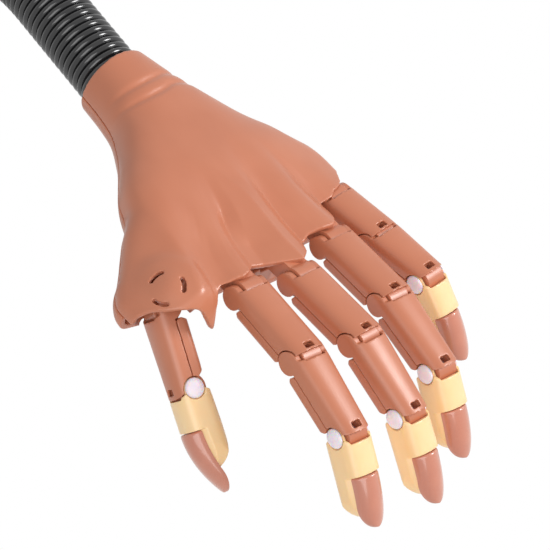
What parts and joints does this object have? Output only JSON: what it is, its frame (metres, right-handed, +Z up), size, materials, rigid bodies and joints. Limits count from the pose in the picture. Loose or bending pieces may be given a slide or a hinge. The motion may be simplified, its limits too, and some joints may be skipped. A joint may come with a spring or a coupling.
{
  "type": "nail practice hand",
  "caption": "Jointed practice hand for fitting nail tips, with bending fingers, soft fingertips and loose nails, on a gooseneck arm with a table clamp.",
  "frame": {"origin": "on the table top, in the underside of the jaw pad, under the middle of the upper jaw", "axes": "+Z up, +X from the wrist to the fingertips, +Y towards the little finger"},
  "size_m": [0.3496, 0.1126, 0.2991],
  "materials": {
    "brown_abs": "satin moulded ABS",
    "nail_pearl": "pearly gloss",
    "soft_tip": "soft translucent",
    "pin_nylon": "smooth",
    "hose_pvc": "glossy black",
    "clamp_enamel": "black enamel",
    "plated_steel": "zinc plated",
    "pad_rubber": "matt"
  },
  "bodies": {
    "clamp": {"clamp_frame": "clamp_enamel", "jaw_pad": "pad_rubber", "base_collar": "clamp_enamel", "hose_1": "hose_pvc"},
    "gooseneck_2": {"hose_2": "hose_pvc"},
    "gooseneck_3": {"hose_3": "hose_pvc"},
    "gooseneck_4": {"hose_4": "hose_pvc"},
    "gooseneck_5": {"hose_5": "hose_pvc"},
    "hand": {"hose_6": "hose_pvc", "wrist_plug": "hose_pvc", "back_shell": "brown_abs", "palm_shell": "brown_abs", "palm_screw_1": "plated_steel", "palm_screw_2": "plated_steel", "palm_screw_3": "plated_steel", "palm_screw_4": "plated_steel"},
    "index_knuckle": {"index_knuckle_link": "brown_abs"},
    "index_proximal": {"index_proximal_shell": "brown_abs", "index_proximal_core": "brown_abs"},
    "index_middle": {"index_middle_shell": "brown_abs", "index_middle_core": "brown_abs"},
    "index_tip": {"index_tip_pin": "pin_nylon", "index_fingertip": "soft_tip"},
    "index_nail": {"index_nail": "nail_pearl"},
    "middle_knuckle": {"middle_knuckle_link": "brown_abs"},
    "middle_proximal": {"middle_proximal_shell": "brown_abs", "middle_proximal_core": "brown_abs"},
    "middle_middle": {"middle_middle_shell": "brown_abs", "middle_middle_core": "brown_abs"},
    "middle_tip": {"middle_tip_pin": "pin_nylon", "middle_fingertip": "soft_tip"},
    "middle_nail": {"middle_nail": "nail_pearl"},
    "ring_knuckle": {"ring_knuckle_link": "brown_abs"},
    "ring_proximal": {"ring_proximal_shell": "brown_abs", "ring_proximal_core": "brown_abs"},
    "ring_middle": {"ring_middle_shell": "brown_abs", "ring_middle_core": "brown_abs"},
    "ring_tip": {"ring_tip_pin": "pin_nylon", "ring_fingertip": "soft_tip"},
    "ring_nail": {"ring_nail": "nail_pearl"},
    "little_knuckle": {"little_knuckle_link": "brown_abs"},
    "little_proximal": {"little_proximal_shell": "brown_abs", "little_proximal_core": "brown_abs"},
    "little_middle": {"little_middle_shell": "brown_abs", "little_middle_core": "brown_abs"},
    "little_tip": {"little_tip_pin": "pin_nylon", "little_fingertip": "soft_tip"},
    "little_nail": {"little_nail": "nail_pearl"},
    "thumb_base": {"thumb_base": "brown_abs"},
    "thumb_segment": {"thumb_shell": "brown_abs", "thumb_core": "brown_abs"},
    "thumb_tip": {"thumb_tip_pin": "pin_nylon", "thumb_fingertip": "soft_tip"},
    "thumb_nail": {"thumb_nail": "nail_pearl"},
    "pressure_pad": {"pressure_pad": "clamp_enamel"},
    "clamp_screw": {"clamp_screw": "plated_steel", "clamp_knob": "hose_pvc"}
  },
  "joints": [
    {"name": "gooseneck_bend_1", "type": "hinge", "parent": "clamp", "child": "gooseneck_2", "pos_m": [0, 0, 0.06361], "axis": [0.0523, 0.9986, 0], "range_deg": [-8, 8]},
    {"name": "gooseneck_bend_2", "type": "hinge", "parent": "gooseneck_2", "child": "gooseneck_3", "pos_m": [0, 0, 0.10762], "axis": [-0.9986, 0.0523, 0], "range_deg": [-8, 8]},
    {"name": "gooseneck_bend_3", "type": "hinge", "parent": "gooseneck_3", "child": "gooseneck_4", "pos_m": [0.01145, -0.0006, 0.14946], "axis": [0.0523, 0.9986, 0], "range_deg": [-8, 8]},
    {"name": "gooseneck_bend_4", "type": "hinge", "parent": "gooseneck_4", "child": "gooseneck_5", "pos_m": [0.0441, -0.00231, 0.17797], "axis": [-0.4106, 0.0215, 0.9116], "range_deg": [-8, 8]},
    {"name": "gooseneck_bend_5", "type": "hinge", "parent": "gooseneck_5", "child": "hand", "pos_m": [0.08709, -0.00456, 0.18393], "axis": [0.0523, 0.9986, 0], "range_deg": [-8, 8]},
    {"name": "index_spread", "type": "hinge", "parent": "hand", "child": "index_knuckle", "pos_m": [0.21068, -0.03046, 0.18008], "axis": [0.0008, 0.0139, 0.9999], "range_deg": [-6, 4]},
    {"name": "index_knuckle_bend", "type": "hinge", "parent": "index_knuckle", "child": "index_proximal", "pos_m": [0.22665, -0.03135, 0.18008], "axis": [0.0558, 0.9983, -0.014], "range_deg": [-7.6, 73.4]},
    {"name": "index_middle_bend", "type": "hinge", "parent": "index_proximal", "child": "index_middle", "pos_m": [0.25719, -0.03307, 0.17922], "axis": [0.0558, 0.9983, -0.014], "range_deg": [-15.3, 64.7]},
    {"name": "index_tip_bend", "type": "hinge", "parent": "index_middle", "child": "index_tip", "pos_m": [0.28479, -0.03473, 0.17082], "axis": [0.0558, 0.9983, -0.014], "range_deg": [-24.6, 20.4]},
    {"name": "index_nail_slide", "type": "slide", "parent": "index_tip", "child": "index_nail", "axis": [0.7473, -0.051, -0.6626], "range_m": [0, 0.014]},
    {"name": "middle_spread", "type": "hinge", "parent": "hand", "child": "middle_knuckle", "pos_m": [0.21555, -0.0111, 0.18228], "axis": [0, -0.0035, 1], "range_deg": [-3, 3]},
    {"name": "middle_knuckle_bend", "type": "hinge", "parent": "middle_knuckle", "child": "middle_proximal", "pos_m": [0.23155, -0.01105, 0.18228], "axis": [-0.0035, 1, 0.0035], "range_deg": [-6.2, 74.8]},
    {"name": "middle_middle_bend", "type": "hinge", "parent": "middle_proximal", "child": "middle_middle", "pos_m": [0.26215, -0.01094, 0.18217], "axis": [-0.0035, 1, 0.0035], "range_deg": [-19.8, 60.2]},
    {"name": "middle_tip_bend", "type": "hinge", "parent": "middle_middle", "child": "middle_tip", "pos_m": [0.28931, -0.01081, 0.17229], "axis": [-0.0035, 1, 0.0035], "range_deg": [-22, 23]},
    {"name": "middle_nail_slide", "type": "slide", "parent": "middle_tip", "child": "middle_nail", "axis": [0.7431, 0.0049, -0.6691], "range_m": [0, 0.014]},
    {"name": "ring_spread", "type": "hinge", "parent": "hand", "child": "ring_knuckle", "pos_m": [0.20747, 0.01435, 0.18138], "axis": [-0.0017, -0.0384, 0.9993], "range_deg": [-3, 3]},
    {"name": "ring_knuckle_bend", "type": "hinge", "parent": "ring_knuckle", "child": "ring_proximal", "pos_m": [0.22345, 0.01365, 0.18138], "axis": [0.0436, 0.9983, 0.0384], "range_deg": [-3.8, 77.2]},
    {"name": "ring_middle_bend", "type": "hinge", "parent": "ring_proximal", "child": "ring_middle", "pos_m": [0.254, 0.01227, 0.18255], "axis": [0.0436, 0.9983, 0.0384], "range_deg": [-16.2, 63.8]},
    {"name": "ring_tip_bend", "type": "hinge", "parent": "ring_middle", "child": "ring_tip", "pos_m": [0.28202, 0.01132, 0.17557], "axis": [0.0436, 0.9983, 0.0384], "range_deg": [-30.2, 14.8]},
    {"name": "ring_nail_slide", "type": "slide", "parent": "ring_tip", "child": "ring_nail", "axis": [0.7174, -0.0045, -0.6967], "range_m": [0, 0.014]},
    {"name": "little_spread", "type": "hinge", "parent": "hand", "child": "little_knuckle", "pos_m": [0.19098, 0.03058, 0.17908], "axis": [0.0055, -0.0905, 0.9959], "range_deg": [-2, 8]},
    {"name": "little_knuckle_bend", "type": "hinge", "parent": "little_knuckle", "child": "little_proximal", "pos_m": [0.20695, 0.03155, 0.17908], "axis": [-0.0608, 0.994, 0.0906], "range_deg": [-2.6, 78.4]},
    {"name": "little_middle_bend", "type": "hinge", "parent": "little_proximal", "child": "little_middle", "pos_m": [0.22918, 0.03279, 0.1804], "axis": [-0.0608, 0.994, 0.0906], "range_deg": [-2.2, 77.8]},
    {"name": "little_tip_bend", "type": "hinge", "parent": "little_middle", "child": "little_tip", "pos_m": [0.25193, 0.03414, 0.18087], "axis": [-0.0608, 0.994, 0.0906], "range_deg": [-40.5, 4.5]},
    {"name": "little_nail_slide", "type": "slide", "parent": "little_tip", "child": "little_nail", "axis": [0.7689, 0.1045, -0.6308], "range_m": [0, 0.014]},
    {"name": "thumb_swing", "type": "hinge", "parent": "hand", "child": "thumb_base", "pos_m": [0.21375, -0.05865, 0.18328], "axis": [0, -0.5, 0.866], "range_deg": [-10, 10]},
    {"name": "thumb_bend", "type": "hinge", "parent": "thumb_base", "child": "thumb_segment", "pos_m": [0.21215, -0.05395, 0.16838], "axis": [-0.5258, 0.2189, -0.822], "range_deg": [-25, 5]},
    {"name": "thumb_tip_bend", "type": "hinge", "parent": "thumb_segment", "child": "thumb_tip", "pos_m": [0.23531, -0.05658, 0.15286], "axis": [-0.5258, 0.2189, -0.822], "range_deg": [-45, 0]},
    {"name": "thumb_nail_slide", "type": "slide", "parent": "thumb_tip", "child": "thumb_nail", "axis": [0.8271, -0.094, -0.5541], "range_m": [0, 0.014]},
    {"name": "pressure_pad_slide", "type": "slide", "parent": "clamp", "child": "pressure_pad", "axis": [0, 0, 1], "range_m": [-0.008, 0.016]},
    {"name": "clamp_screw_turn", "type": "hinge", "parent": "pressure_pad", "child": "clamp_screw", "pos_m": [0, 0, -0.05], "axis": [0, 0, 1], "range_deg": [-730, 1450]}
  ],
  "couplings": [
    {"joint": "clamp_screw_turn", "follows": "pressure_pad_slide", "rad_per_m": 1570.8}
  ]
}
